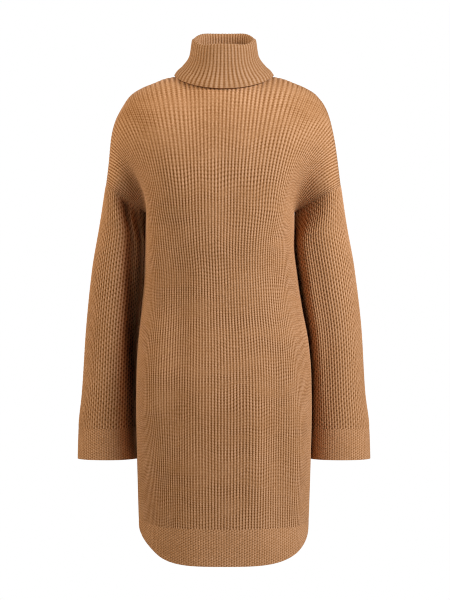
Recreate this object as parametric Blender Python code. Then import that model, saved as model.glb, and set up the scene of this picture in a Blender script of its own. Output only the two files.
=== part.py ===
"""A ribbed sweater dress with a roll collar, filled out as it hangs on a wearer.

The cloth is nine knitted pieces: front and back, a hem band below each, two sleeves with their cuffs, and
the roll collar. Each is a closed wall: a plain inside, and an outside whose points rise with the ribs.
The origin is the middle of the neck base, at the height of the neck end of the shoulders.
+Z is up, the front faces -Y and +X is the wearer's left.
"""

import bpy
import numpy as np

OBJECT = "sweater_dress"

WALL = 0.0018           # cloth at the foot of a rib
RIB_HEIGHT = 0.0012     # a rib above its groove
BAND_RISE = 0.0006      # the bands' flat face above the grooves
SEAM_GAP = 0.0003       # between two pieces at a seam

BODY_RIBS = 84          # across the front, and across the back
SLEEVE_RIBS = 70        # round a sleeve
COLLAR_RIBS = 52        # round the collar
OUTER_PER_RIB = 2       # a groove point and a ridge point
BODY_INNER = 8          # outer columns to one inner column
NECK_INNER = 2          # the same, where a panel ends at the neck
NECK_CORNER = (0.17, 0.25)      # part of a panel at the neck's sides, where the inside repeats every column
ARMPIT_INNER = 4        # and where it bends round the armpit
ARMPIT_SHARE = 0.76     # outside this part of a panel
SLEEVE_INNER = 5
COLLAR_INNER = 4
BAND_COLUMNS = 42       # along a hem band
CUFF_COLUMNS = 28       # round a cuff

PANEL_EDGE = 0.9992     # share of the half ring that a panel takes up, short of the seam gap
UNDERARM_Z = -0.245
SHOULDER_Y = 0.012      # side seams and shoulder line, a little behind the neck's middle
BAND_TOP = -0.805       # where the hem bands start
BAND_TOP_RISE = 0.007   # their top line's rise at the side seams
BAND_TOP_LEVEL = 0.5    # part of it that is level
HEM_Z = -0.870          # lowest line of the hem
HEM_RISE = 0.060        # how far its rounded corners climb to the side seams
CUFF_TOP = -0.635
CUFF_END = -0.691
DROP_Z = -0.198         # where the armhole crosses the outside of the arm
POINT_LENGTH = 0.3      # part of the sleeve in which the point rounds off
ROUNDNESS = 2.3         # exponent of the body's sections: 2 is an ellipse
SEAM_FADE = 0.12        # part of a panel beside its side seams over which the folds fade out
ARM_DEPTH = 0.058       # armhole, front and back of the shoulder line
UNDERARM_POINT = 0.85   # how pointed the armhole is under the arm: 0 is round
SHOULDER_SLOPE = 0.18   # how steeply the ribs still climb where they reach the shoulder line
RIB_HANDLE = 0.40       # pull of a rib's ends on its curve, as a part of its span
NECK_SHARE = 0.22       # part of a panel's ribs that ends at the neck
NECK_HALF = 0.0722      # half width of the neck seam
NECK_SIDE_Z = 0.0012    # its height at the sides
NECK_Y = {-1: -0.0705, 1: 0.0845}       # where it crosses the front and the back
NECK_CROWN = {-1: 0.024, 1: 0.058}      # height the middle ribs would reach if the neck didn't cut them off
NECK_MITRE = (0.75, 0.65)               # outward and upward way of the cut edges there

BODY_LOW = (0.0, 0.22, 0.44, 0.64, 0.83, 1.0)           # rows from the band to the underarm
BODY_HIGH = (0.16, 0.36, 0.58, 0.80, 1.0)               # rows from there to the shoulder
SLEEVE_ROWS = (0.0, 0.14, 0.34, 0.56, 0.78, 1.0)
COLLAR_LIFT = 0.0005    # its seam edge above the panels' one
COLLAR_ROWS = (0.0, 0.20, 0.40, 0.44, 0.48, 0.52, 0.56, 0.70, 0.85, 1.0)
COLLAR_FOLD = 0.48      # where its cloth turns over
FOLD_SPREAD = 0.12      # how far from the fold its flatter rim reaches
BAND_ROWS = (0.0, 0.5, 1.0)


def table(columns, *rows):
    """Named columns of numbers, one row for each section or fold."""
    return dict(zip(columns.split(), np.array(rows, dtype=float).T))


# Body, from hem to underarm: reach to each side, depth before and behind the side seams, and how much
# wider the ribs are in the middle than at the sides.
BODY = table("z right left front back spread",
             (-0.880, 0.1505, 0.1495, 0.126, 0.118, 0.00),
             (-0.797, 0.1530, 0.1520, 0.129, 0.121, 0.00),
             (-0.682, 0.1560, 0.1556, 0.132, 0.124, 0.00),
             (-0.600, 0.1575, 0.1572, 0.133, 0.124, 0.00),
             (-0.540, 0.1570, 0.1565, 0.131, 0.120, 0.00),
             (-0.482, 0.1545, 0.1520, 0.127, 0.112, 0.00),
             (-0.421, 0.1482, 0.1410, 0.124, 0.104, 0.00),
             (-0.360, 0.1430, 0.1320, 0.125, 0.100, 0.00),
             (-0.300, 0.1415, 0.1260, 0.131, 0.101, 0.05),
             (-0.245, 0.1400, 0.1260, 0.135, 0.105, 0.12))

# Shoulder line, from the neck to where the armhole crosses the outside of the arm.
SHOULDER = table("z right left",
                 (0.0012, 0.0722, 0.0722),
                 (-0.0016, 0.0930, 0.0920),
                 (-0.0048, 0.1080, 0.1070),
                 (-0.0112, 0.1240, 0.1240),
                 (-0.0205, 0.1475, 0.1465),
                 (-0.0330, 0.1670, 0.1660),
                 (-0.0560, 0.1826, 0.1822),
                 (-0.0840, 0.1940, 0.1922),
                 (-0.1260, 0.2030, 0.2010),
                 (-0.1980, 0.2125, 0.2100))

# Sleeve, from armhole (0) to cuff (1): how far out its outer and inner sides lie, depth before and
# behind its own middle, and where that middle is.
SLEEVE = table("down out_right out_left in_right in_left front back mid",
               (0.00, 0.2125, 0.2100, 0.1428, 0.1288, 0.058, 0.058, 0.012),
               (0.15, 0.2230, 0.2200, 0.1447, 0.1296, 0.060, 0.060, 0.018),
               (0.35, 0.2383, 0.2362, 0.1474, 0.1378, 0.060, 0.060, 0.028),
               (0.60, 0.2502, 0.2497, 0.1556, 0.1531, 0.058, 0.058, 0.038),
               (0.85, 0.2575, 0.2562, 0.1582, 0.1580, 0.057, 0.057, 0.044),
               (1.00, 0.2638, 0.2635, 0.1580, 0.1578, 0.056, 0.056, 0.045),
               (1.15, 0.2655, 0.2655, 0.1562, 0.1562, 0.056, 0.056, 0.045))

# Roll collar, from the neck seam (0) up the inside, over the fold and down to its free edge (1).
COLLAR = table("along half front back z_front z_side z_back",
               (0.00, 0.0722, -0.0705, 0.0845, -0.0200, 0.0017, 0.0206),
               (0.20, 0.0570, -0.0620, 0.0690, -0.0050, 0.0280, 0.0470),
               (0.40, 0.0508, -0.0550, 0.0650, 0.0435, 0.0600, 0.0755),
               (0.44, 0.0518, -0.0560, 0.0660, 0.0490, 0.0655, 0.0810),
               (0.48, 0.0545, -0.0587, 0.0687, 0.0515, 0.0682, 0.0837),
               (0.52, 0.0571, -0.0613, 0.0713, 0.0490, 0.0655, 0.0810),
               (0.56, 0.0579, -0.0623, 0.0723, 0.0430, 0.0595, 0.0750),
               (0.70, 0.0614, -0.0675, 0.0785, 0.0160, 0.0375, 0.0480),
               (0.85, 0.0745, -0.0760, 0.0910, -0.0100, 0.0182, 0.0180),
               (0.93, 0.0832, -0.0825, 0.1010, -0.0200, 0.0104, 0.0010),
               (1.00, 0.0890, -0.0890, 0.1080, -0.0300, 0.0022, -0.0140))

# Largest folds of the body: place across the panel (-1 to 1), span in height, half width across, depth.
FRONT_FOLDS = table("at top bottom width depth",
                    (-0.42, -0.52, -0.86, 0.13, 0.0050),
                    (0.42, -0.46, -0.84, 0.11, 0.0060),
                    (0.10, -0.14, -0.36, 0.12, 0.0045),
                    (-0.66, -0.30, -0.58, 0.10, 0.0040),
                    (0.70, -0.34, -0.62, 0.09, 0.0035),
                    (0.22, -0.50, -0.78, 0.08, -0.0035))
BACK_FOLDS = table("at top bottom width depth",
                   (0.05, -0.20, -0.48, 0.14, 0.0055),
                   (-0.45, -0.50, -0.84, 0.12, 0.0055),
                   (0.52, -0.46, -0.80, 0.12, 0.0045),
                   (-0.70, -0.26, -0.50, 0.10, 0.0040))

# Largest folds of a sleeve: place round it (0 under the arm, 0.25 front, 0.5 outside), span, size.
SLEEVE_FOLDS = {
    1: table("at top bottom width depth",
             (0.20, 0.05, 0.80, 0.045, 0.0050),
             (0.42, 0.30, 0.95, 0.060, 0.0035),
             (0.74, 0.08, 0.70, 0.060, 0.0060)),
    -1: table("at top bottom width depth",
              (0.155, 0.03, 1.40, 0.045, 0.0150),
              (0.40, 0.35, 0.95, 0.060, 0.0030),
              (0.76, 0.10, 0.75, 0.060, 0.0060)),
}

# Colour, roughness and metallic value of each material.
FINISHES = {
    "rib_knit": ((0.42, 0.22, 0.105, 1.0), 0.92, 0.0),
    "band_knit": ((0.40, 0.21, 0.10, 1.0), 0.92, 0.0),
}


# Curves and blends

def smooth(low, high, x):
    """0 below low, 1 above high, eased between."""
    t = np.clip((x - low) / (high - low), 0.0, 1.0)
    return t * t * (3.0 - 2.0 * t)


def between(xs, ys, x):
    """A smooth curve through a table's points, that overshoots nowhere."""
    order = np.argsort(xs)
    xs, ys = xs[order], ys[order]
    step = np.diff(xs)
    slope = np.diff(ys) / step
    tangent = np.zeros_like(ys)
    same = slope[:-1] * slope[1:] > 0.0
    inner = 2.0 * slope[:-1] * slope[1:] / np.where(same, slope[:-1] + slope[1:], 1.0)
    tangent[1:-1] = np.where(same, inner, 0.0)
    tangent[0], tangent[-1] = slope[0], slope[-1]
    x = np.clip(x, xs[0], xs[-1])
    i = np.clip(np.searchsorted(xs, x, side="right") - 1, 0, len(xs) - 2)
    t = (x - xs[i]) / step[i]
    return ((1.0 + 2.0 * t) * (1.0 - t) ** 2 * ys[i] + t * (1.0 - t) ** 2 * step[i] * tangent[i]
            + t * t * (3.0 - 2.0 * t) * ys[i + 1] - t * t * (1.0 - t) * step[i] * tangent[i + 1])


def bezier(a, b, c, d, t):
    """Point at t on the cubic curve with ends a and d."""
    return (1 - t) ** 3 * a + 3 * t * (1 - t) ** 2 * b + 3 * t * t * (1 - t) * c + t ** 3 * d


def unit(v):
    return v / np.linalg.norm(v, axis=-1, keepdims=True)


def even(points, shares):
    """Points at the given shares of a polyline's length."""
    steps = np.linalg.norm(np.diff(points, axis=0), axis=1)
    run = np.concatenate(([0.0], np.cumsum(steps)))
    at = np.asarray(shares) * run[-1]
    return np.stack([np.interp(at, run, points[:, k]) for k in range(3)], axis=-1)


def fold_depth(folds, across, down, top_first):
    """How far the folds push the cloth in at a place. Heights fall down the body, and rise down a sleeve."""
    depth = 0.0
    for at, top, bottom, width, size in zip(*(folds[k] for k in ("at", "top", "bottom", "width", "depth"))):
        middle, half = (top + bottom) / 2, abs(bottom - top) / 2
        length = np.clip(1.0 - ((down - middle) / half) ** 2, 0.0, 1.0)
        offset = across - at if top_first else (across - at + 0.5) % 1.0 - 0.5
        depth = depth + size * length * np.exp(-(offset / width) ** 2)
    return depth


# Body

def side_name(side):
    """+X is the wearer's left."""
    return "left" if side > 0 else "right"


def reach(side, z):
    return between(BODY["z"], BODY[side_name(side)], z)


def body_ring(face, z, samples=49):
    """Half ring of the body at height z, from one side seam to the other, as a dense polyline."""
    depth = between(BODY["z"], BODY["front" if face < 0 else "back"], z)
    turn = np.linspace(-np.pi / 2, np.pi / 2, 2 * samples - 1)
    power = 2.0 / ROUNDNESS
    wide = np.where(turn < 0, reach(-1, z), reach(1, z))
    x = np.sign(turn) * wide * np.abs(np.sin(turn)) ** power
    y = SHOULDER_Y + face * depth * np.abs(np.cos(turn)) ** power
    return np.stack([x, y, np.full_like(x, z)], axis=-1)


def neck_bow(turn, rim=0.0):
    """How a ring round the neck passes from its side height to its front or back one. The rim is flatter."""
    ahead = np.abs(np.cos(turn))
    return (1.0 - rim) * ahead ** 1.3 + rim * smooth(0.0, 0.87, ahead)


def top_line(face, u):
    """Where a panel's rib ends on the shoulder line, or above the neck, which cuts it off sooner."""
    side = -1 if u < 0 else 1
    if abs(u) < NECK_SHARE:
        share = abs(u) / NECK_SHARE
        crown = (NECK_CROWN[face] - NECK_SIDE_Z) * (1.0 - share ** 2) ** 1.5
        return np.array([side * NECK_HALF * share, SHOULDER_Y, NECK_SIDE_Z + crown])
    x = SHOULDER[side_name(side)]
    line = np.stack([side * x, np.full_like(x, SHOULDER_Y), SHOULDER["z"]], axis=-1)
    heights = np.linspace(line[0, 2], line[-1, 2], 60)
    dense = np.stack([between(line[:, 2], line[:, 0], heights), np.full(60, SHOULDER_Y), heights], axis=-1)
    return even(dense, (abs(u) - NECK_SHARE) / (1.0 - NECK_SHARE))


def neck_y(face, turn):
    """The neck seam as seen from above, its turn counted from the middle of the front or back."""
    return NECK_Y[face] * np.cos(turn) + SHOULDER_Y * np.sin(turn) ** 2


def neck_cut(face, rib):
    """Share of a rib, given as a dense polyline, at which it meets the neck seam."""
    turn = np.arcsin(np.clip(np.abs(rib[:, 0]) / NECK_HALF, 0.0, 1.0))
    left = face * (rib[:, 1] - neck_y(face, turn))
    last = np.flatnonzero(left > 0.0)[-1]
    if last == len(rib) - 1:
        return 1.0
    return (last + left[last] / (left[last] - left[last + 1])) / (len(rib) - 1)


def neck_seam(turn):
    """Points of the panels' edge round the neck, at the given turns: 0 in front, half a circle behind."""
    shares = panel_columns()
    shares = shares[np.abs(shares) < NECK_SHARE]
    known = [(side * np.pi / 2, np.array([side * NECK_HALF, SHOULDER_Y, NECK_SIDE_Z])) for side in (-1, 1)]
    for face in (-1, 1):
        for point in (body_point(face, a, 2.0) for a in shares):
            bend = np.arcsin(point[0] / NECK_HALF)
            known.append((bend if face < 0 else np.pi - bend, point))
    turns, points = zip(*known)
    columns = np.array(points).T
    return np.stack([np.interp(turn, turns, column, period=2 * np.pi) for column in columns], axis=-1)


def arm_across(side):
    """From the underarm straight to where the armhole crosses the outside of the arm."""
    name = side_name(side)
    return unit(np.array([side * (SHOULDER[name][-1] - reach(side, UNDERARM_Z)), 0.0, DROP_Z - UNDERARM_Z]))


def arm_way(side):
    """Down the arm, square to the armhole."""
    across = arm_across(side)
    return np.array([side * across[2], 0.0, -side * across[0]])


def under_arm_way(side, face, point):
    """How a ring of the sleeve, or the armhole, leaves the underarm, where it is pointed."""
    return unit(np.array([0.0, face, 0.0]) + point * arm_across(side))


def upper_rib(face, u, start, t):
    """A rib above the underarm: up the chest or back, then over to the neck or the shoulder line."""
    edge = smooth(0.72, 1.0, abs(u))
    way_out = under_arm_way(-1 if u < 0 else 1, face, UNDERARM_POINT)
    start_way = unit((1 - edge) * np.array([0, 0.02 * face, 1.0]) + edge * way_out)
    end_way = unit(np.array([0, -face, SHOULDER_SLOPE * (1.0 - smooth(0.5, 0.9, abs(u)))]))
    end = top_line(face, u)
    wide = smooth(0.55, 1.0, abs(u))
    handle = (1 - wide) * RIB_HANDLE * np.linalg.norm(end - start) + wide * ARM_DEPTH * 4 / 3
    points = (start, start + handle * start_way, end - handle * end_way, end)
    if abs(u) < NECK_SHARE:
        cut = neck_cut(face, bezier(*points, np.linspace(0.0, 1.0, 80)[:, None]))
        t = t * (1.0 - (1.0 - cut) * t * t)
    return bezier(*points, t)


def body_point(face, u, row):
    """Point of the front (face -1) or back (1). Rows run from 0 at the band to 1 at the underarm, to 2."""
    if row > 1.0:
        return upper_rib(face, u, body_at(face, u, UNDERARM_Z), row - 1.0)
    bottom = BAND_TOP + BAND_TOP_RISE * smooth(BAND_TOP_LEVEL, 1.0, abs(u))
    return body_at(face, u, bottom + (UNDERARM_Z - bottom) * row)


def body_at(face, u, z):
    """Point of a panel at height z, its ribs spread over the half ring."""
    spread = between(BODY["z"], BODY["spread"], z)
    share = u + spread * np.sin(np.pi * u) / np.pi
    return even(body_ring(face, z), (share + 1) / 2)


def hem_height(u, point):
    """The hem's height below a point of the body: level in the middle, with rounded corners."""
    share = min(abs(point[0]) / reach(1 if u > 0 else -1, point[2]), 1.0)
    return HEM_Z + HEM_RISE * (1.0 - np.sqrt(1.0 - share ** 4))


# Sleeves

def sleeve_ring(side, down, samples=40):
    """Ring of a sleeve from under the arm over the front to the outside and back."""
    name = side_name(side)
    out, inner = (between(SLEEVE["down"], SLEEVE[k + name], down) for k in ("out_", "in_"))
    front, back, mid = (between(SLEEVE["down"], SLEEVE[k], down) for k in ("front", "back", "mid"))
    below = min(down, 1.0)
    past = (CUFF_END - CUFF_TOP) * (down - below) / (SLEEVE["down"][-1] - 1.0)
    out_z = DROP_Z + (CUFF_TOP - DROP_Z) * below + past
    in_z = UNDERARM_Z + (CUFF_TOP - UNDERARM_Z) * below + past
    under = np.array([side * inner, mid, in_z])
    over = np.array([side * out, mid, out_z])
    t = np.linspace(0.0, 1.0, samples)[:, None]
    point = UNDERARM_POINT * (1.0 - smooth(0.0, POINT_LENGTH, down))
    ahead, behind = front * 4 / 3, back * 4 / 3
    ring_y = np.array([0.0, 1.0, 0.0])
    fore = bezier(under, under + ahead * under_arm_way(side, -1, point), over - ahead * ring_y, over, t)
    aft = bezier(over, over + behind * ring_y, under + behind * under_arm_way(side, 1, point), under, t)
    return np.concatenate([fore, aft[1:]])


# Walls

def grid_normals(grid, closed, flip):
    """Unit normals of a grid of points, columns across and rows along."""
    if closed:
        across = np.roll(grid, -1, axis=0) - np.roll(grid, 1, axis=0)
    else:
        across = np.gradient(grid, axis=0)
    normals = unit(np.cross(across, np.gradient(grid, axis=1)))
    return -normals if flip else normals


def without(vectors, way):
    """Unit vectors with their part along way taken out."""
    return unit(vectors - np.sum(vectors * way, axis=-1, keepdims=True) * way)


def zip_faces(fine, coarse, picks):
    """Triangles between a fine row of points and a coarse one that stands level with its picks."""
    faces = []
    for near, far, first, last in zip(coarse, coarse[1:], picks, picks[1:]):
        half = (first + last) // 2
        faces += [(fine[j], fine[j + 1], near) for j in range(first, half)]
        faces.append((fine[half], far, near))
        faces += [(fine[j], fine[j + 1], far) for j in range(half, last)]
    return faces


def sheet_faces(ids):
    """Quads of a grid of point numbers, facing the way across x along."""
    return [(ids[i, j], ids[i + 1, j], ids[i + 1, j + 1], ids[i, j + 1])
            for i in range(ids.shape[0] - 1) for j in range(ids.shape[1] - 1)]


def turned(faces):
    return [face[::-1] for face in faces]


def wall(name, grid, normals, rise, picks, closed, flip, finish):
    """A closed wall: an outside raised along its normals, over a plain inside of the picked columns."""
    outer = grid + normals * rise[:, None, None]
    inner = (grid - normals * WALL)[picks]
    points = np.concatenate([outer.reshape(-1, 3), inner.reshape(-1, 3)])
    out_ids = np.arange(outer.shape[0] * outer.shape[1]).reshape(outer.shape[:2])
    in_ids = out_ids.size + np.arange(inner.shape[0] * inner.shape[1]).reshape(inner.shape[:2])
    if closed:
        out_ids = np.vstack([out_ids, out_ids[:1]])
        in_ids = np.vstack([in_ids, in_ids[:1]])
        picks = np.append(picks, len(grid))
    faces = sheet_faces(out_ids) + turned(sheet_faces(in_ids))
    faces += turned(zip_faces(out_ids[:, 0], in_ids[:, 0], picks))
    faces += zip_faces(out_ids[:, -1], in_ids[:, -1], picks)
    if not closed:
        faces += sheet_faces(np.stack([in_ids[0], out_ids[0]]))
        faces += sheet_faces(np.stack([out_ids[-1], in_ids[-1]]))
    if flip:
        faces = turned(faces)
    mesh = bpy.data.meshes.new(name)
    mesh.from_pydata(points.tolist(), [], [[int(k) for k in face] for face in faces])
    mesh.materials.append(material(name, finish))
    piece = bpy.data.objects.new(name, mesh)
    bpy.data.collections[OBJECT].objects.link(piece)


def material(name, finish):
    colour, roughness, metallic = FINISHES[finish]
    made = bpy.data.materials.new(name + "_" + finish)
    made.use_nodes = True
    shader = made.node_tree.nodes["Principled BSDF"]
    shader.inputs["Base Color"].default_value = colour
    shader.inputs["Roughness"].default_value = roughness
    shader.inputs["Metallic"].default_value = metallic
    return made


def rib_rise(columns):
    """Rise of each outer column: grooves on even columns, ridges on odd ones."""
    return np.where(np.arange(columns) % OUTER_PER_RIB == 1, RIB_HEIGHT, 0.0)


def pressed(grid, folds, across, down, fade, flip, closed, top_first):
    """A grid with its folds pressed in, and its normals."""
    normals = grid_normals(grid, closed, flip)
    depth = fold_depth(folds, across, down, top_first) * fade
    grid = grid - normals * depth[..., None]
    return grid, grid_normals(grid, closed, flip)


# Pieces

def panel_columns():
    """Places across a panel of its outer columns, from -1 to 1."""
    return np.linspace(-PANEL_EDGE, PANEL_EDGE, BODY_RIBS * OUTER_PER_RIB + 1)


def panel(name, face):
    """Front or back of the body, from its hem band to the neck and shoulder line."""
    flip = face > 0
    u = panel_columns()
    rows = np.array(BODY_LOW + tuple(1.0 + t for t in BODY_HIGH))
    grid = np.array([[body_point(face, a, row) for row in rows] for a in u])
    fade = smooth(0.0, SEAM_FADE, 1.0 - np.abs(u))[:, None]
    folds = FRONT_FOLDS if face < 0 else BACK_FOLDS
    grid, normals = pressed(grid, folds, u[:, None], grid[..., 2], fade, flip, False, True)
    low = len(BODY_LOW)
    for column, side in ((0, -1), (-1, 1)):
        normals[column, :low] = without(normals[column, :low], np.array([0.0, 1.0, 0.0]))
        normals[column, low:] = without(normals[column, low:], arm_way(side))
    on_neck = np.abs(u) < NECK_SHARE
    normals[on_neck, -1] = neck_way(grid[on_neck, -1])
    normals[~on_neck, -1] = without(normals[~on_neck, -1], np.array([0.0, 1.0, 0.0]))
    grid[~on_neck, -1, 1] += face * SEAM_GAP / 2
    wall(name, grid, normals, rib_rise(len(u)), body_picks(u), False, flip, "rib_knit")


def body_picks(u):
    """Outer columns that the inside repeats: closest where the cloth is most curved."""
    step = np.full(len(u), BODY_INNER)
    step[np.abs(u) > ARMPIT_SHARE] = ARMPIT_INNER
    step[np.abs(u) < NECK_SHARE] = NECK_INNER
    step[(np.abs(u) > NECK_CORNER[0]) & (np.abs(u) < NECK_CORNER[1])] = 1
    return np.flatnonzero(np.arange(len(u)) % step == 0)


def hem_band(name, face):
    """Band of finer knit below a panel, its lower corners rounded."""
    flip = face > 0
    u = np.linspace(-PANEL_EDGE, PANEL_EDGE, BAND_COLUMNS + 1)
    grid = []
    for a in u:
        top = body_point(face, a, 0.0)
        top_z = top[2] - SEAM_GAP
        end_z = hem_height(a, top)
        grid.append([body_at(face, a, end_z + (top_z - end_z) * row) for row in BAND_ROWS])
    grid = np.array(grid)
    fade = smooth(0.0, SEAM_FADE, 1.0 - np.abs(u))[:, None]
    folds = FRONT_FOLDS if face < 0 else BACK_FOLDS
    grid, normals = pressed(grid, folds, u[:, None], grid[..., 2], fade, flip, False, True)
    for column in (0, -1):
        normals[column] = without(normals[column], np.array([0.0, 1.0, 0.0]))
    wall(name, grid, normals, np.full(len(u), BAND_RISE), np.arange(0, len(u), 2), False, flip, "band_knit")


def tube(name, side, rows, columns, rise, ratio, finish):
    """A stretch of a sleeve, from row to row."""
    flip = side > 0
    shares = np.arange(columns) / columns
    grid = np.stack([even(sleeve_ring(side, row), shares) for row in rows], axis=1)
    down = np.array(rows)[None, :]
    grid, normals = pressed(grid, SLEEVE_FOLDS[side], shares[:, None], down, 1.0, flip, True, False)
    if rows[0] == 0.0:
        normals[:, 0] = without(normals[:, 0], arm_way(side))
        grid[:, 0] += arm_way(side) * SEAM_GAP
    wall(name, grid, normals, rise, np.arange(0, columns, ratio), True, flip, finish)


def collar(name):
    """Roll collar: up the neck, over, and down outside itself."""
    turn = np.arange(COLLAR_RIBS * OUTER_PER_RIB) / (COLLAR_RIBS * OUTER_PER_RIB) * 2 * np.pi
    rows = []
    for along in COLLAR_ROWS:
        half, front, back, z_front, z_side, z_back = (
            between(COLLAR["along"], COLLAR[k], along) for k in list(COLLAR)[1:])
        ahead = np.cos(turn) > 0
        y = np.where(ahead, front, -back) * np.cos(turn) + SHOULDER_Y * np.sin(turn) ** 2
        rim = np.exp(-((along - COLLAR_FOLD) / FOLD_SPREAD) ** 2)
        z = z_side + (np.where(ahead, z_front, z_back) - z_side) * neck_bow(turn, rim)
        rows.append(np.stack([half * np.sin(turn), y, z], axis=-1))
    rows[0] = neck_seam(turn) + np.array([0.0, 0.0, COLLAR_LIFT])
    grid = np.stack(rows, axis=1)
    normals = grid_normals(grid, True, True)
    normals[:, 0] = -neck_way(grid[:, 0])
    picks = np.arange(0, len(turn), COLLAR_INNER)
    wall(name, grid, normals, rib_rise(len(turn)), picks, True, True, "rib_knit")


def neck_way(points):
    """Outward and up from the neck seam, shared by both pieces sewn there."""
    middle = np.array([0.0, SHOULDER_Y, 0.0])
    flat = (points - middle) * np.array([1.0, 1.0, 0.0])
    return unit(unit(flat) * NECK_MITRE[0] + np.array([0.0, 0.0, NECK_MITRE[1]]))


def build():
    for old in list(bpy.data.objects):
        bpy.data.objects.remove(old, do_unlink=True)
    bpy.context.scene.collection.children.link(bpy.data.collections.new(OBJECT))
    for name, face in (("front", -1), ("back", 1)):
        panel(name + "_panel", face)
        hem_band(name + "_hem_band", face)
    for side in (1, -1):
        name = side_name(side)
        columns = SLEEVE_RIBS * OUTER_PER_RIB
        tube(name + "_sleeve", side, SLEEVE_ROWS, columns, rib_rise(columns), SLEEVE_INNER, "rib_knit")
        cuff_rows = np.linspace(1.0 + SEAM_GAP / (DROP_Z - CUFF_TOP), SLEEVE["down"][-1], len(BAND_ROWS))
        tube(name + "_cuff", side, cuff_rows, CUFF_COLUMNS, np.full(CUFF_COLUMNS, BAND_RISE), 2, "band_knit")
    collar("roll_collar")


build()
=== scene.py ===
import math

import bpy
import numpy as np
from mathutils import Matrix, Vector


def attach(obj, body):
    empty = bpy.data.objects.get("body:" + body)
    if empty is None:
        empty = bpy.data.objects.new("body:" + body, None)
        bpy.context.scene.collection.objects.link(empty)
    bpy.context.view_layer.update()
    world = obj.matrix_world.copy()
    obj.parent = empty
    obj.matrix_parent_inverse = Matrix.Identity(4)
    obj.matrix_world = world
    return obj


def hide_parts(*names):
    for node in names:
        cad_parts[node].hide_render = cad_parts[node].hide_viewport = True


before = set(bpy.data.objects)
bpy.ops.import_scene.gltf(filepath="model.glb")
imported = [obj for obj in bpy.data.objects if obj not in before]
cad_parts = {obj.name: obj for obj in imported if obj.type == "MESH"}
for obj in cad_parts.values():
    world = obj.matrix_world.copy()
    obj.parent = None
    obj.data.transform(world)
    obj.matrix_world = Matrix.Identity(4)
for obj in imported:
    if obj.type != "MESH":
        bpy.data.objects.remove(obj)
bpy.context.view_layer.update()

scene = bpy.context.scene
bpy.ops.object.select_all(action="DESELECT")
print("frame loaded")


# A named table: columns by name, one row for each section or fold.
def table(columns, *rows):
    return dict(zip(columns.split(), np.array(rows, dtype=float).T))


# Values that all pieces of cloth share, in metres.
cloth = {
    "wall": 0.0018,          # at the foot of a rib
    "seamDip": 0.30,         # how much a rib sinks at a seam
    "seamReach": 0.0030,     # and over what length
    "allowance": 0.004,      # edge turned in behind the next piece
    "allowanceDepth": 0.0042,
    "shoulderY": 0.012,      # side seams and shoulder line
    "underarmZ": -0.245,
    "underarmPoint": 0.85,   # 0 is a round underarm
    "dropZ": -0.198,         # armhole on the outside of the arm
    "beadSharp": 0.8,        # under 1 narrows the dips between stitches
}

# Points in a line before it is spaced out, and levels that heights are read between.
samples = {"body": 241, "levels": 60, "shoulder": 200, "rib": 241, "arm": 160, "collar": 400}


# Curves and blends

def ease(low, high, x):
    t = np.clip((x - low) / (high - low), 0.0, 1.0)
    return t * t * (3.0 - 2.0 * t)


# Smooth curve through a table's points that overshoots nowhere.
def through(xs, ys, x):
    order = np.argsort(xs)
    xs, ys = xs[order], ys[order]
    step = np.diff(xs)
    slope = np.diff(ys) / step
    tangent = np.zeros_like(ys)
    same = slope[:-1] * slope[1:] > 0.0
    inner = 2.0 * slope[:-1] * slope[1:] / np.where(same, slope[:-1] + slope[1:], 1.0)
    tangent[1:-1] = np.where(same, inner, 0.0)
    tangent[0], tangent[-1] = slope[0], slope[-1]
    x = np.clip(x, xs[0], xs[-1])
    i = np.clip(np.searchsorted(xs, x, side="right") - 1, 0, len(xs) - 2)
    t = (x - xs[i]) / step[i]
    return ((1.0 + 2.0 * t) * (1.0 - t) ** 2 * ys[i] + t * (1.0 - t) ** 2 * step[i] * tangent[i]
            + t * t * (3.0 - 2.0 * t) * ys[i + 1] - t * t * (1.0 - t) * step[i] * tangent[i + 1])


def bezier(a, b, c, d, t):
    return (1 - t) ** 3 * a + 3 * t * (1 - t) ** 2 * b + 3 * t * t * (1 - t) * c + t ** 3 * d


def unit(v):
    return v / np.linalg.norm(v, axis=-1, keepdims=True)


def lengthAlong(points):
    steps = np.linalg.norm(np.diff(points, axis=0), axis=-1)
    return np.concatenate((np.zeros((1,) + steps.shape[1:]), np.cumsum(steps, axis=0)))


# Points at the given shares of a polyline's length.
def spaced(points, shares):
    run = lengthAlong(points)
    at = np.asarray(shares) * run[-1]
    return np.stack([np.interp(at, run, points[:, k]) for k in range(3)], axis=-1)


# How far the folds push the cloth in. A fold leans by its lean for each metre (or share) down.
def foldDepth(folds, across, down, around):
    depth = 0.0
    columns = (folds[k] for k in "at top bottom lean width depth".split())
    for at, top, bottom, lean, width, size in zip(*columns):
        middle, half = (top + bottom) / 2, abs(bottom - top) / 2
        length = np.clip(1.0 - ((down - middle) / half) ** 2, 0.0, 1.0)
        offset = across - at - lean * (down - middle)
        if around:
            offset = (offset + 0.5) % 1.0 - 0.5
        depth = depth + size * length * np.exp(-(offset / width) ** 2)
    return depth


# Knitted walls

def gridNormals(grid, closed, flip):
    if closed:
        across = np.roll(grid, -1, axis=0) - np.roll(grid, 1, axis=0)
    else:
        across = np.gradient(grid, axis=0)
    normals = unit(np.cross(across, np.gradient(grid, axis=1)))
    return -normals if flip else normals


def without(vectors, way):
    return unit(vectors - np.sum(vectors * way, axis=-1, keepdims=True) * way)


def pressed(grid, folds, across, down, fade, closed, flip):
    normals = gridNormals(grid, closed, flip)
    grid = grid - normals * (foldDepth(folds, across, down, closed) * fade)[..., None]
    return grid, gridNormals(grid, closed, flip)


def quadsOf(ids):
    return np.stack([ids[:-1, :-1], ids[1:, :-1], ids[1:, 1:], ids[:-1, 1:]], axis=-1).reshape(-1, 4)


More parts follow.
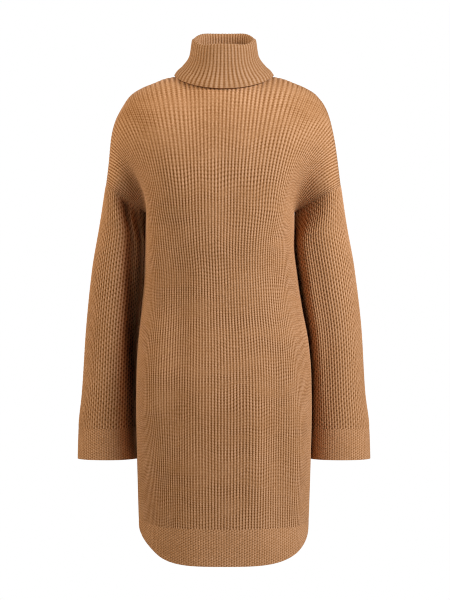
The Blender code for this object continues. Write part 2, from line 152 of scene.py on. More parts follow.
# Triangles between a fine edge and a coarse one that stands level with its picks.
def zipped(fine, coarse, picks):
    faces = []
    for near, far, first, last in zip(coarse, coarse[1:], picks, picks[1:]):
        half = (first + last) // 2
        faces += [(fine[j], fine[j + 1], near) for j in range(first, half)]
        faces.append((fine[half], far, near))
        faces += [(fine[j], fine[j + 1], far) for j in range(half, last)]
    return np.array(faces)


# Edges along these lines of points stay sharp, so that no shading runs round a rim.
def sharpen(mesh, lines):
    ends = np.empty(len(mesh.edges) * 2, dtype=int)
    mesh.edges.foreach_get("vertices", ends)
    size = len(mesh.vertices)
    wanted = np.concatenate([np.stack([line[:-1], line[1:]], axis=1) for line in lines])
    keys = [np.sort(pairs, axis=1) @ np.array([size, 1]) for pairs in (ends.reshape(-1, 2), wanted)]
    mesh.edges.foreach_set("use_edge_sharp", np.isin(*keys))


# A closed wall: the stitched outside, a plain inside of every few columns, and rims between them.
# Its map counts ribs across and stitches along.
def knitWall(name, grid, normals, rise, ribs, stitches, inside, closed, flip, turned=()):
    columns, rows = grid.shape[:2]
    picks = np.arange(0, columns, inside)
    if not closed and picks[-1] != columns - 1:
        picks = np.append(picks, columns - 1)
    outer = grid + normals * rise[..., None]
    inner = (grid - normals * cloth["wall"])[picks]
    points = np.concatenate([outer.reshape(-1, 3), inner.reshape(-1, 3)])
    count = np.stack([np.broadcast_to(ribs[:, None], (columns, rows)), stitches], axis=-1)
    counts = np.concatenate([count.reshape(-1, 2), count[picks].reshape(-1, 2)])
    outIds = np.arange(columns * rows).reshape(columns, rows)
    inIds = columns * rows + np.arange(len(picks) * rows).reshape(len(picks), rows)
    if closed:
        outIds, inIds = np.vstack([outIds, outIds[:1]]), np.vstack([inIds, inIds[:1]])
        picks = np.append(picks, columns)
    quads = [quadsOf(outIds), quadsOf(inIds)[:, ::-1]]
    corners = [zipped(outIds[:, 0], inIds[:, 0], picks)[:, ::-1], zipped(outIds[:, -1], inIds[:, -1], picks)]
    if not closed:
        quads += [quadsOf(np.stack([inIds[0], outIds[0]])), quadsOf(np.stack([outIds[-1], inIds[-1]]))]
    quads, corners = np.concatenate(quads), np.concatenate(corners)
    if flip:
        quads, corners = quads[:, ::-1], corners[:, ::-1]
    mesh = bpy.data.meshes.new(name)
    mesh.from_pydata(points.tolist(), [], quads.tolist() + corners.tolist())
    mesh.polygons.foreach_set("use_smooth", [True] * len(mesh.polygons))
    knitMap = mesh.uv_layers.new(name="knit")
    known = []
    for faces in (quads, corners):
        at = counts[faces]
        if closed:                              # the last column runs on to the first
            split = np.ptp(at[..., 0], axis=1) > ribs[-1] / 2
            early = split[:, None] & (at[..., 0] < ribs[-1] / 2)
            at[..., 0] += np.where(early, round(ribs[-1] + ribs[1]), 0.0)
        known.append(at.reshape(-1, 2))
    knitMap.data.foreach_set("uv", np.concatenate(known).ravel())
    lines = [ids[:, end] for ids in (outIds, inIds) for end in (0, -1)]
    if not closed:
        lines += [ids[end] for ids in (outIds, inIds) for end in (0, -1)]
    lines += [np.take(outIds, 1 if end == 0 else -2, axis=axis) for axis, end in turned]
    sharpen(mesh, lines)
    piece = bpy.data.objects.new(name, mesh)
    scene.collection.objects.link(piece)
    return piece


# 1 at a wall's outer points, 0 at its inner ones.
def outside(piece, grid):
    return (np.arange(len(piece.data.vertices)) < grid.shape[0] * grid.shape[1]).astype(float)


# One more line of points at an edge (0 first, -1 last; axis 0 across, 1 along), which turns in behind
# the piece that the edge is linked to.
def turnedIn(grid, normals, rise, stitches, axis, end):
    pick = np.take(np.arange(grid.shape[axis]), [end, end + (1 if end == 0 else -1)])
    edge, before = (np.take(grid, [k], axis=axis) for k in pick)
    way = unit(edge - before)
    normal, count = np.take(normals, [pick[0]], axis=axis), np.take(stitches, [pick[0]], axis=axis)
    line = edge + way * cloth["allowance"] - normal * cloth["allowanceDepth"]
    new = (line, normal, np.zeros(line.shape[:2]), count)
    pairs = zip((grid, normals, rise, stitches), new)
    return [np.concatenate([b, a] if end == 0 else [a, b], axis=axis) for a, b in pairs]


# Rounded ribs with narrow grooves, from 0 in the groove to 1 on the ridge.
def ribShape(ribs, sharp):
    return np.abs(np.sin(np.pi * ribs)) ** sharp


# Stitches along a rib, from 0 where two meet to 1 in the middle. Every other rib is set off by a share
# of one.
def stitchShape(ribs, stitches, offset, sharp):
    shift = offset * (np.floor(ribs + 1e-6) % 2)[:, None]
    return np.abs(np.sin(np.pi * (stitches + shift))) ** sharp


# Ribs sink towards a seam at either end of the rows.
def seamDip(grid, first, last):
    run = lengthAlong(np.swapaxes(grid, 0, 1)).T
    dip = 0.0
    if first:
        dip = dip + np.exp(-run / cloth["seamReach"])
    if last:
        dip = dip + np.exp(-(run[:, -1:] - run) / cloth["seamReach"])
    return 1.0 - cloth["seamDip"] * dip


def flatArea(grid, closed):
    if closed:
        grid = np.concatenate([grid, grid[:1]])
    across, along = np.diff(grid, axis=0)[:, :-1], np.diff(grid, axis=1)[:-1]
    return float(np.linalg.norm(np.cross(across, along), axis=-1).sum())


# Body: sections from hem to underarm, and the shoulder line

body = {
    "ribs": 96,              # across the front, and across the back
    "crowd": 0.14,           # ribs stand closer towards the sides
    "perRib": 4,             # columns of points to a rib
    "inside": 8,
    "ribHeight": 0.0010,
    "ribSharp": 0.70,        # under 1 narrows the grooves
    "splitWidth": (0.0060, 0.0078),          # a rib this wide begins and ends to split in two
    "splitHeight": 0.35,
    "splitBeside": 0.25,     # no rib splits at the neck, and all may from this far beside it
    "shoulderRib": 0.60,     # ribs are this much flatter towards the armholes
    "flatAcross": (0.45, 0.95),
    "flatZ": (-0.26, -0.12),
    "armholeCrowd": 1.2,     # and stand closer there
    "lowRows": 96,
    "highRows": 76,
    "edge": 0.9992,          # share of the half ring that a panel takes up
    "roundness": 2.3,        # 2 is an ellipse
    "bandTop": -0.805,
    "bandTopRise": 0.007,
    "bandTopLevel": 0.5,
    "foldFade": 0.12,        # beside the side seams
    "armDepth": 0.058,
    "edgeWay": (0.72, 1.0),  # from here across, ribs leave the underarm outwards
    "forward": 0.02,         # and the others nearly straight up
    "shoulderSlope": 0.18,
    "slopeEnds": (0.5, 0.9),
    "ribHandle": 0.40,
    "armWide": (0.55, 1.0),  # from here across, they bow as far as the armhole does
    "neckShare": 0.22,       # part of the ribs that end at the neck
    "neckHalf": 0.0722,
    "neckSideZ": 0.0012,
    "neckY": {-1: -0.0705, 1: 0.0845},
    "neckCrown": {-1: 0.024, 1: 0.058},
    "neckMitre": (0.75, 0.65),
    "stitchLow": 0.0047,     # stitch length below the waist
    "stitchHigh": 0.0062,    # and at the shoulders
    "stitchZ": (-0.32, -0.12),
    "sections": table("z right left front back spread",
                      (-0.880, 0.1505, 0.1495, 0.126, 0.118, 0.00),
                      (-0.797, 0.1530, 0.1520, 0.129, 0.121, 0.00),
                      (-0.682, 0.1560, 0.1556, 0.132, 0.124, 0.00),
                      (-0.600, 0.1575, 0.1572, 0.133, 0.124, 0.00),
                      (-0.540, 0.1570, 0.1565, 0.131, 0.120, 0.00),
                      (-0.482, 0.1545, 0.1520, 0.127, 0.112, 0.00),
                      (-0.421, 0.1482, 0.1410, 0.124, 0.104, 0.00),
                      (-0.360, 0.1430, 0.1320, 0.125, 0.100, 0.00),
                      (-0.300, 0.1415, 0.1260, 0.131, 0.101, 0.05),
                      (-0.245, 0.1400, 0.1260, 0.135, 0.105, 0.12)),
    "shoulder": table("z right left",
                      (0.0012, 0.0722, 0.0722),
                      (-0.0016, 0.0930, 0.0920),
                      (-0.0048, 0.1080, 0.1070),
                      (-0.0112, 0.1240, 0.1240),
                      (-0.0205, 0.1475, 0.1465),
                      (-0.0330, 0.1670, 0.1660),
                      (-0.0560, 0.1826, 0.1822),
                      (-0.0840, 0.1940, 0.1922),
                      (-0.1260, 0.2030, 0.2010),
                      (-0.1980, 0.2125, 0.2100)),
    # place across (-1 to 1), span in height, lean, half width across, depth
    "frontFolds": table("at top bottom lean width depth",
                        (-0.36, -0.26, -0.70, 0.0, 0.13, 0.0065),
                        (0.42, -0.46, -0.84, 0.0, 0.11, 0.0060),
                        (0.10, -0.14, -0.36, 0.0, 0.12, 0.0045),
                        (-0.60, -0.05, -0.42, 0.0, 0.14, -0.0090),
                        (-0.60, -0.40, -0.66, 0.0, 0.12, -0.0035),
                        (0.70, -0.34, -0.62, 0.0, 0.09, 0.0035),
                        (0.22, -0.50, -0.78, 0.0, 0.08, -0.0035),
                        (-0.37, -0.03, -0.27, 0.4, 0.15, -0.0115),
                        (0.43, -0.04, -0.29, -0.4, 0.15, -0.0100),
                        (0.02, -0.10, -0.30, 0.0, 0.10, 0.0035),
                        (-0.42, -0.54, -0.90, 0.0, 0.13, 0.0055),
                        (-0.66, -0.60, -1.00, 0.0, 0.20, 0.0090),
                        (0.62, -0.56, -0.86, 0.0, 0.07, -0.0030)),
    "backFolds": table("at top bottom lean width depth",
                       (0.05, -0.20, -0.48, 0.0, 0.14, 0.0055),
                       (-0.45, -0.50, -0.84, 0.0, 0.12, 0.0055),
                       (0.52, -0.46, -0.80, 0.0, 0.12, 0.0045),
                       (-0.70, -0.26, -0.50, 0.0, 0.10, 0.0040)),
}


def sideName(side):
    return "left" if side > 0 else "right"


def reach(side, z):
    return through(body["sections"]["z"], body["sections"][sideName(side)], z)


def bodyRing(face, z):
    sections = body["sections"]
    depth = through(sections["z"], sections["front" if face < 0 else "back"], z)
    turn = np.linspace(-np.pi / 2, np.pi / 2, samples["body"])
    power = 2.0 / body["roundness"]
    wide = np.where(turn < 0, reach(-1, z), reach(1, z))
    x = np.sign(turn) * wide * np.abs(np.sin(turn)) ** power
    y = cloth["shoulderY"] + face * depth * np.abs(np.cos(turn)) ** power
    return np.stack([x, y, np.full_like(x, z)], axis=-1)


# Points across a panel at one height.
def bodyAt(face, us, z):
    wide = through(body["sections"]["z"], body["sections"]["spread"], z)
    return spaced(bodyRing(face, z), (us + wide * np.sin(np.pi * us) / np.pi + 1) / 2)


# The same where each column has its own height: read from rings a few millimetres apart.
def bodyAtHeights(face, us, heights):
    levels = np.linspace(heights.min(), heights.max(), samples["levels"])
    rings = np.stack([bodyAt(face, us, z) for z in levels])
    share = (heights - levels[0]) / (levels[-1] - levels[0])
    place = np.clip(share * (len(levels) - 1), 0, len(levels) - 1.000001)
    low = place.astype(int)
    part = (place - low)[..., None]
    column = np.arange(len(us))[:, None]
    return rings[low, column] * (1 - part) + rings[low + 1, column] * part


def armAcross(side):
    over = body["shoulder"][sideName(side)][-1]
    up = cloth["dropZ"] - cloth["underarmZ"]
    return unit(np.array([side * (over - reach(side, cloth["underarmZ"])), 0.0, up]))


def armWay(side):
    across = armAcross(side)
    return np.array([side * across[2], 0.0, -side * across[0]])


def underArmWay(side, face, point):
    return unit(np.array([0.0, face, 0.0]) + point * armAcross(side))


# Where the ribs end on the shoulder line, or above the neck, which cuts them off sooner.
def topLine(face, us):
    ends = np.zeros((len(us), 3))
    for i, u in enumerate(us):
        side = -1 if u < 0 else 1
        if abs(u) < body["neckShare"]:
            share = abs(u) / body["neckShare"]
            crown = (body["neckCrown"][face] - body["neckSideZ"]) * (1.0 - share ** 2) ** 1.5
            ends[i] = (side * body["neckHalf"] * share, cloth["shoulderY"], body["neckSideZ"] + crown)
    for side in (-1, 1):
        z, x = body["shoulder"]["z"], body["shoulder"][sideName(side)]
        heights = np.linspace(z[0], z[-1], samples["shoulder"])
        line = np.stack([side * through(z, x, heights), 0 * heights + cloth["shoulderY"], heights], axis=-1)
        here = side * us >= body["neckShare"]
        out = (np.abs(us[here]) - body["neckShare"]) / (1.0 - body["neckShare"])
        ends[here] = spaced(line, 1.0 - (1.0 - out) ** body["armholeCrowd"])
    return ends


def neckY(face, turn):
    return body["neckY"][face] * np.cos(turn) + cloth["shoulderY"] * np.sin(turn) ** 2


# Ribs above the underarm: up the chest or back, then over to the neck or the shoulder line.
def upperRibs(face, us, rows):
    start, end = bodyAt(face, us, cloth["underarmZ"]), topLine(face, us)
    edge = ease(*body["edgeWay"], np.abs(us))[:, None]
    wayOut = np.array([underArmWay(-1 if u < 0 else 1, face, cloth["underarmPoint"]) for u in us])
    startWay = unit((1 - edge) * np.array([0, body["forward"] * face, 1.0]) + edge * wayOut)
    slope = body["shoulderSlope"] * (1.0 - ease(*body["slopeEnds"], np.abs(us)))
    endWay = unit(np.stack([0 * us, 0 * us - face, slope], axis=-1))
    wide = ease(*body["armWide"], np.abs(us))[:, None]
    span = np.linalg.norm(end - start, axis=1)[:, None]
    handle = (1 - wide) * body["ribHandle"] * span + wide * body["armDepth"] * 4 / 3
    dense = np.linspace(0.0, 1.0, samples["rib"])
    ribs = bezier(*(p[:, None, :] for p in (start, start + handle * startWay, end - handle * endWay, end)),
                  dense[None, :, None])
    grid = np.empty((len(us), rows, 3))
    for i, u in enumerate(us):
        rib = ribs[i]
        if abs(u) < body["neckShare"]:
            turn = np.arcsin(np.clip(np.abs(rib[:, 0]) / body["neckHalf"], 0.0, 1.0))
            left = face * (rib[:, 1] - neckY(face, turn))
            last = np.flatnonzero(left > 0.0)[-1]
            if last < len(rib) - 1:
                part = left[last] / (left[last] - left[last + 1])
                rib = np.vstack([rib[:last + 1], rib[last] + (rib[last + 1] - rib[last]) * part])
        grid[i] = spaced(rib, np.linspace(0.0, 1.0, rows))
    return grid


# Lower line of the panels, which is the upper line of the hem bands.
def bandLine(us):
    return body["bandTop"] + body["bandTopRise"] * ease(body["bandTopLevel"], 1.0, np.abs(us))


def panelGrid(face, us):
    bottom = bandLine(us)[:, None]
    shares = np.linspace(0.0, 1.0, body["lowRows"])[None, :]
    low = bodyAtHeights(face, us, bottom + (cloth["underarmZ"] - bottom) * shares)
    return np.concatenate([low, upperRibs(face, us, body["highRows"])[:, 1:]], axis=1)


# Stitches counted along each rib, longer towards the shoulders.
def stitchCount(grid):
    run = np.linalg.norm(np.diff(grid, axis=1), axis=-1)
    z = (grid[:, 1:, 2] + grid[:, :-1, 2]) / 2
    low, high = body["stitchLow"], body["stitchHigh"]
    size = low + (high - low) * ease(*body["stitchZ"], z)
    return np.concatenate([np.zeros((len(grid), 1)), np.cumsum(run / size, axis=1)], axis=1)


# Way of the cut edges at the neck seam: outward and up, the same for panels and collar.
def neckWay(points):
    flat = (points - np.array([0.0, cloth["shoulderY"], 0.0])) * np.array([1.0, 1.0, 0.0])
    return unit(unit(flat) * body["neckMitre"][0] + np.array([0.0, 0.0, body["neckMitre"][1]]))


# Width of each rib, square to its run.
def ribWidth(grid, perRib):
    across, along = np.gradient(grid, axis=0), unit(np.gradient(grid, axis=1))
    return np.linalg.norm(np.cross(across, along), axis=-1) * perRib


def panelColumns():
    even = np.linspace(-1.0, 1.0, body["ribs"] * body["perRib"] + 1)
    return (even + body["crowd"] * np.sin(np.pi * even) / np.pi) * body["edge"]


def makePanel(name, face):
    flip = face > 0
    us = panelColumns()
    ribs = np.arange(len(us)) / body["perRib"]
    grid = panelGrid(face, us)
    neckEdges[face] = (us, grid[:, -1].copy())
    fade = ease(0.0, body["foldFade"], 1.0 - np.abs(us))[:, None]
    folds = body["frontFolds" if face < 0 else "backFolds"]
    grid, normals = pressed(grid, folds, us[:, None], grid[..., 2], fade, False, flip)
    low = body["lowRows"]
    for column, side in ((0, -1), (-1, 1)):
        normals[column, :low] = without(normals[column, :low], np.array([0.0, 1.0, 0.0]))
        normals[column, low:] = without(normals[column, low:], armWay(side))
    onNeck = np.abs(us) < body["neckShare"]
    normals[onNeck, -1] = neckWay(grid[onNeck, -1])
    normals[~onNeck, -1] = without(normals[~onNeck, -1], np.array([0.0, 1.0, 0.0]))
    stitches = stitchCount(grid)
    flatter = body["shoulderRib"] * ease(*body["flatAcross"], np.abs(us))[:, None]
    flatter = 1.0 - flatter * ease(*body["flatZ"], grid[..., 2])
    split = ease(*body["splitWidth"], ribWidth(grid, body["perRib"]))
    split = split * ease(body["neckShare"], body["neckShare"] + body["splitBeside"], np.abs(us))[:, None]
    shape = (1 - split) * ribShape(ribs, body["ribSharp"])[:, None]
    shape = shape + split * body["splitHeight"] * ribShape(2 * ribs, body["ribSharp"])[:, None]
    rise = body["ribHeight"] * shape * flatter * seamDip(grid, True, False)
    if face > 0:
        split = np.concatenate([split[:1], split, split[-1:]])
        for end in (0, -1):
            grid, normals, rise, stitches = turnedIn(grid, normals, rise, stitches, 0, end)
        ribs = np.concatenate([[ribs[0] - 0.2], ribs, [ribs[-1] + 0.2]])
    piece = knitWall(name, grid, normals, rise, ribs, stitches, body["inside"], False, flip,
                     [(0, 0), (0, -1)] if face > 0 else [])
    mark = piece.data.attributes.new("split", "FLOAT", "POINT")
    mark.data.foreach_set("value", np.resize(split, len(piece.data.vertices)) * outside(piece, grid))
    print(name, "area", round(flatArea(grid, False), 4))
    return piece


neckEdges = {}
frontPanel = makePanel("frontKnit", -1)
backPanel = makePanel("backKnit", 1)
print("panels knitted")


# Hem bands: finer dotted knit with rounded lower corners

# Values that hem bands and cuffs share.
band = {
    "perWale": 4,
    "inside": 8,
    "rise": 0.0004,          # flat part
    "dot": 0.0006,           # dots above it
    "offset": 0.5,
    "stitch": 0.0046,
}

hemBand = dict(band, wales=100, rows=48, bottom=-0.870, cornerRise=0.060)


# Dots where rib and stitch are both at their highest, over the flat part.
def bandRise(grid, wales, stitches):
    dots = ribShape(wales, 1.0)[:, None] * stitchShape(wales, stitches, band["offset"], 1.0)
    return band["rise"] + band["dot"] * dots * seamDip(grid, True, True)


def makeHemBand(name, face):
    flip = face > 0
    us = np.linspace(-body["edge"], body["edge"], hemBand["wales"] * hemBand["perWale"] + 1)
    wales = np.arange(len(us)) / hemBand["perWale"]
    top = bandLine(us)
    edge = bodyAtHeights(face, us, top[:, None])[:, 0]
    wide = np.where(us > 0, reach(1, edge[:, 2]), reach(-1, edge[:, 2]))
    share = np.minimum(np.abs(edge[:, 0]) / wide, 1.0)
    bottom = hemBand["bottom"] + hemBand["cornerRise"] * (1.0 - np.sqrt(1.0 - share ** 4))
    rows = np.linspace(0.0, 1.0, hemBand["rows"])[None, :]
    grid = bodyAtHeights(face, us, bottom[:, None] + (top - bottom)[:, None] * rows)
    fade = ease(0.0, body["foldFade"], 1.0 - np.abs(us))[:, None]
    folds = body["frontFolds" if face < 0 else "backFolds"]
    grid, normals = pressed(grid, folds, us[:, None], grid[..., 2], fade, False, flip)
    for column in (0, -1):
        normals[column] = without(normals[column], np.array([0.0, 1.0, 0.0]))
    stitches = (grid[..., 2] - hemBand["bottom"]) / hemBand["stitch"]
    rise = bandRise(grid, wales, stitches)
    grid, normals, rise, stitches = turnedIn(grid, normals, rise, stitches, 1, -1)
    piece = knitWall(name, grid, normals, rise, wales, stitches, hemBand["inside"], False, flip, [(1, -1)])
    print(name, "area", round(flatArea(grid, False), 4))
    return piece


frontHem = makeHemBand("frontHemKnit", -1)
backHem = makeHemBand("backHemKnit", 1)
print("hem bands knitted")


# Sleeves and cuffs

sleeve = {
    "ribs": 70,
    "perRib": 4,
    "inside": 4,
    "ribHeight": 0.0013,
    "ribSharp": 0.75,
    "rows": 200,
    "stitches": 50,          # from armhole to cuff
    "offset": 0.5,           # every other rib's stitches are set off by this share
    "bead": 0.55,            # how far a rib sinks between two stitches
    "foldFade": 0.02,        # below the armhole
    "cuffTop": -0.635,
    "cuffEnd": -0.691,
    "pointLength": 0.16,
    "sections": table("down out_right out_left in_right in_left front back mid",
                      (0.00, 0.2125, 0.2100, 0.1413, 0.1273, 0.058, 0.058, 0.012),
                      (0.15, 0.2230, 0.2200, 0.1431, 0.1282, 0.060, 0.060, 0.018),
                      (0.35, 0.2383, 0.2362, 0.1474, 0.1378, 0.060, 0.060, 0.028),
                      (0.60, 0.2502, 0.2497, 0.1556, 0.1531, 0.058, 0.058, 0.038),
                      (0.85, 0.2575, 0.2562, 0.1582, 0.1580, 0.057, 0.057, 0.044),
                      (1.00, 0.2638, 0.2635, 0.1580, 0.1578, 0.056, 0.056, 0.045),
                      (1.15, 0.2655, 0.2655, 0.1562, 0.1562, 0.056, 0.056, 0.045)),
    # place round it (0 under the arm, 0.25 front, 0.5 outside), span from armhole to cuff, size
    "leftFolds": table("at top bottom lean width depth",
                       (0.42, 0.30, 0.95, 0.0, 0.060, 0.0035),
                       (0.74, 0.08, 0.70, 0.0, 0.060, 0.0060),
                       (0.925, -0.10, 1.30, 0.0, 0.045, -0.0060)),
    "rightFolds": table("at top bottom lean width depth",
                        (0.925, -0.10, 1.30, 0.0, 0.045, -0.0060),
                        (0.40, 0.35, 0.95, 0.0, 0.060, 0.0030),
                        (0.76, 0.10, 0.75, 0.0, 0.060, 0.0060)),
    # the same, but sunk straight back
    "leftTroughs": table("at top bottom lean width depth",
                         (0.130, 0.00, 1.00, 0.0, 0.050, -0.0100)),
    "rightTroughs": table("at top bottom lean width depth",
                          (0.178, -0.20, 0.80, -0.12, 0.033, 0.0390),
                          (0.108, -0.05, 1.20, -0.02, 0.048, 0.0580)),
}

cuff = dict(band, wales=80, rows=40)


def sleeveRing(side, down):
    sections, name = sleeve["sections"], sideName(side)
    out, inner = (through(sections["down"], sections[k + name], down) for k in ("out_", "in_"))
    front, back, mid = (through(sections["down"], sections[k], down) for k in ("front", "back", "mid"))
    below = min(down, 1.0)
    past = (sleeve["cuffEnd"] - sleeve["cuffTop"]) * (down - below) / (sections["down"][-1] - 1.0)
    outZ = cloth["dropZ"] + (sleeve["cuffTop"] - cloth["dropZ"]) * below + past
    inZ = cloth["underarmZ"] + (sleeve["cuffTop"] - cloth["underarmZ"]) * below + past
    under, over = np.array([side * inner, mid, inZ]), np.array([side * out, mid, outZ])
    t = np.linspace(0.0, 1.0, samples["arm"])[:, None]
    point = cloth["underarmPoint"] * (1.0 - ease(0.0, sleeve["pointLength"], down))
    ahead, behind, ringY = front * 4 / 3, back * 4 / 3, np.array([0.0, 1.0, 0.0])
    fore = bezier(under, under + ahead * underArmWay(side, -1, point), over - ahead * ringY, over, t)
    aft = bezier(over, over + behind * ringY, under + behind * underArmWay(side, 1, point), under, t)
    return np.concatenate([fore, aft[1:]])


def tubeGrid(side, rows, columns):
    shares = np.arange(columns) / columns
    grid = np.stack([spaced(sleeveRing(side, down), shares) for down in rows], axis=1)
    fade = ease(0.0, sleeve["foldFade"], rows)
    troughs = sleeve[sideName(side) + "Troughs"]
    grid[..., 1] += foldDepth(troughs, shares[:, None], rows[None, :], True) * fade
    folds = sleeve[sideName(side) + "Folds"]
    return pressed(grid, folds, shares[:, None], rows[None, :], fade, True, side > 0)


def makeSleeve(name, side):
    columns = sleeve["ribs"] * sleeve["perRib"]
    ribs = np.arange(columns) / sleeve["perRib"]
    rows = np.linspace(0.0, 1.0, sleeve["rows"])
    grid, normals = tubeGrid(side, rows, columns)
    normals[:, 0] = without(normals[:, 0], armWay(side))
    stitches = np.broadcast_to(rows * sleeve["stitches"], (columns, len(rows)))
    beads = 1.0 - sleeve["bead"] * (1.0 - stitchShape(ribs, stitches, sleeve["offset"], cloth["beadSharp"]))
    rise = sleeve["ribHeight"] * ribShape(ribs, sleeve["ribSharp"])[:, None]
    rise = rise * beads * seamDip(grid, True, True)
    grid, normals, rise, stitches = turnedIn(grid, normals, rise, stitches, 1, 0)
    piece = knitWall(name, grid, normals, rise, ribs, stitches, sleeve["inside"], True, side > 0, [(1, 0)])
    print(name, "area", round(flatArea(grid, True), 4))
    return piece


def makeCuff(name, side):
    columns = cuff["wales"] * cuff["perWale"]
    wales = np.arange(columns) / cuff["perWale"]
    rows = np.linspace(1.0, sleeve["sections"]["down"][-1], cuff["rows"])
    grid, normals = tubeGrid(side, rows, columns)
    stitches = (grid[..., 2] - sleeve["cuffEnd"]) / cuff["stitch"]
    rise = bandRise(grid, wales, stitches)
    grid, normals, rise, stitches = turnedIn(grid, normals, rise, stitches, 1, 0)
    piece = knitWall(name, grid, normals, rise, wales, stitches, cuff["inside"], True, side > 0, [(1, 0)])
    print(name, "area", round(flatArea(grid, True), 4))
    return piece


leftSleeve, rightSleeve = makeSleeve("leftSleeveKnit", 1), makeSleeve("rightSleeveKnit", -1)
leftCuff, rightCuff = makeCuff("leftCuffKnit", 1), makeCuff("rightCuffKnit", -1)
print("sleeves and cuffs knitted")


# Roll collar: up the neck, over, and down outside itself

collar = {
    "ribs": 60,
    "perRib": 5,
    "inside": 5,
    "ribHeight": 0.0013,
    "ribSharp": 0.7,
    "rows": 110,
    "stitch": 0.0050,
    "bead": 0.08,
    "rimRib": 0.6,           # ribs are this much flatter where the collar turns
    "rimAt": 0.47,
    "rimSpread": 0.05,
    "fold": 0.48,
    "foldSpread": 0.12,
    "bow": 1.3,              # how the lower edge falls from side to middle
    "rimBow": 0.87,          # and the rim
    "lift": 0.0005,
    "seamBlend": 0.2,        # over what share it takes up the neck seam's own line
    "sections": table("along half front back z_front z_side z_back",
                      (0.00, 0.0722, -0.0705, 0.0845, -0.0200, 0.0017, 0.0206),
                      (0.20, 0.0570, -0.0620, 0.0690, -0.0050, 0.0280, 0.0470),
                      (0.40, 0.0508, -0.0550, 0.0650, 0.0435, 0.0600, 0.0755),
                      (0.44, 0.0518, -0.0560, 0.0660, 0.0490, 0.0655, 0.0810),
                      (0.48, 0.0545, -0.0587, 0.0687, 0.0515, 0.0682, 0.0837),
                      (0.52, 0.0571, -0.0613, 0.0713, 0.0490, 0.0655, 0.0810),
                      (0.56, 0.0579, -0.0623, 0.0723, 0.0430, 0.0595, 0.0750),
                      (0.70, 0.0614, -0.0675, 0.0785, 0.0160, 0.0375, 0.0480),
                      (0.85, 0.0745, -0.0740, 0.0910, -0.0100, 0.0182, 0.0180),
                      (0.93, 0.0832, -0.0782, 0.1010, -0.0200, 0.0104, 0.0010),
                      (1.00, 0.0890, -0.0822, 0.1080, -0.0300, 0.0022, -0.0140)),
}


# The panels' edge round the neck, at the given turns: 0 in front, half a circle behind.
def neckSeam(turn):
    turns = [-np.pi / 2, np.pi / 2]
    points = [np.array([side * body["neckHalf"], cloth["shoulderY"], body["neckSideZ"]]) for side in (-1, 1)]
    for face, (us, edge) in neckEdges.items():
        for point in edge[np.abs(us) < body["neckShare"]]:
            bend = np.arcsin(np.clip(point[0] / body["neckHalf"], -1.0, 1.0))
            turns.append(bend if face < 0 else np.pi - bend)
            points.append(point)
    columns = np.array(points).T
    return np.stack([np.interp(turn, turns, column, period=2 * np.pi) for column in columns], axis=-1)


def neckBow(turn, rim):
    ahead = np.abs(np.cos(turn))
    return (1.0 - rim) * ahead ** collar["bow"] + rim * ease(0.0, collar["rimBow"], ahead)


def makeCollar(name):
    columns = collar["ribs"] * collar["perRib"]
    ribs = np.arange(columns) / collar["perRib"]
    turn = np.arange(columns) / columns * 2 * np.pi
    sections = collar["sections"]
    ahead = np.cos(turn) > 0
    rows = []
    alongs = np.linspace(0.0, 1.0, samples["collar"])
    for along in alongs:
        half, front, back, zFront, zSide, zBack = (
            through(sections["along"], sections[k], along) for k in list(sections)[1:])
        y = np.where(ahead, front, -back) * np.cos(turn) + cloth["shoulderY"] * np.sin(turn) ** 2
        rim = np.exp(-((along - collar["fold"]) / collar["foldSpread"]) ** 2)
        z = zSide + (np.where(ahead, zFront, zBack) - zSide) * neckBow(turn, rim)
        rows.append(np.stack([half * np.sin(turn), y, z], axis=-1))
    dense = np.stack(rows, axis=1)
    shift = neckSeam(turn) + np.array([0.0, 0.0, collar["lift"]]) - dense[:, 0]
    reachUp = (1.0 - ease(0.0, collar["seamBlend"], alongs))[None, :, None]
    dense = dense + shift[:, None, :] * reachUp
    shares = np.linspace(0.0, 1.0, collar["rows"])
    grid = np.stack([spaced(line, shares) for line in dense])
    normals = gridNormals(grid, True, True)
    normals[:, 0] = -neckWay(grid[:, 0])
    run = np.linalg.norm(np.diff(grid, axis=1), axis=-1).mean(axis=0)
    stitches = np.broadcast_to(np.concatenate([[0.0], np.cumsum(run)]) / collar["stitch"], grid.shape[:2])
    beads = 1.0 - collar["bead"] * (1.0 - stitchShape(ribs, stitches, 0.0, cloth["beadSharp"]))
    rise = collar["ribHeight"] * ribShape(ribs, collar["ribSharp"])[:, None] * beads
    flatter = 1.0 - collar["rimRib"] * np.exp(-((shares - collar["rimAt"]) / collar["rimSpread"]) ** 2)
    rise = rise * seamDip(grid, True, False) * flatter
    piece = knitWall(name, grid, normals, rise, ribs, stitches, collar["inside"], True, True)
    print(name, "area", round(flatArea(grid, True), 4))
    return piece


rollCollar = makeCollar("collarKnit")
print("collar knitted")


# Shader sums: one socket with the usual operators, and one way to add any node.

